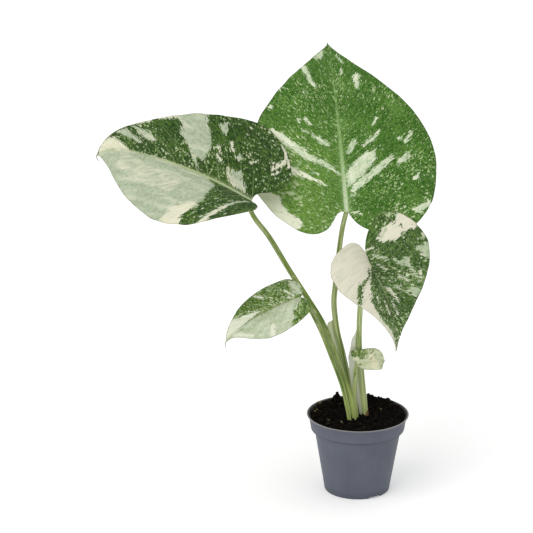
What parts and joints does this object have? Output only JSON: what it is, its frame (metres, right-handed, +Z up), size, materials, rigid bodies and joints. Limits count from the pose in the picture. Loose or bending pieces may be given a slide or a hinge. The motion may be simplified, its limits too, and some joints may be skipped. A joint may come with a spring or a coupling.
{
  "type": "potted thai constellation monstera",
  "caption": "Variegated monstera in a tapered nursery pot: cream-splashed heart-shaped leaves on long arching petioles that stand in dark soil. It rests on the foot of its pot.",
  "frame": {"origin": "centre of the pot's underside, in the plane the pot stands on", "axes": "+Z up along the pot's axis; -Y towards the side the leaves show best; +X to the right of that side"},
  "size_m": [0.3973, 0.3098, 0.5035],
  "materials": {
    "pot_plastic": "matte moulded grey-blue plastic",
    "potting_mix": "dark crumbly bark and peat mix",
    "dry_sheath": "dry brown papery scale",
    "petiole": "smooth waxy green stem",
    "blade": "satin leaf, green with cream flecks and sectors"
  },
  "bodies": {
    "root": {"pot": "pot_plastic", "soil": "potting_mix", "dry_sheath_scale": "dry_sheath", "upright_leaf_petiole": "petiole", "upright_leaf_blade": "blade", "large_left_leaf_petiole": "petiole", "large_left_leaf_blade": "blade", "right_leaf_petiole": "petiole", "right_leaf_blade": "blade", "small_left_leaf_petiole": "petiole", "small_left_leaf_blade": "blade", "curled_leaf_petiole": "petiole", "curled_leaf_blade": "blade"}
  },
  "joints": []
}
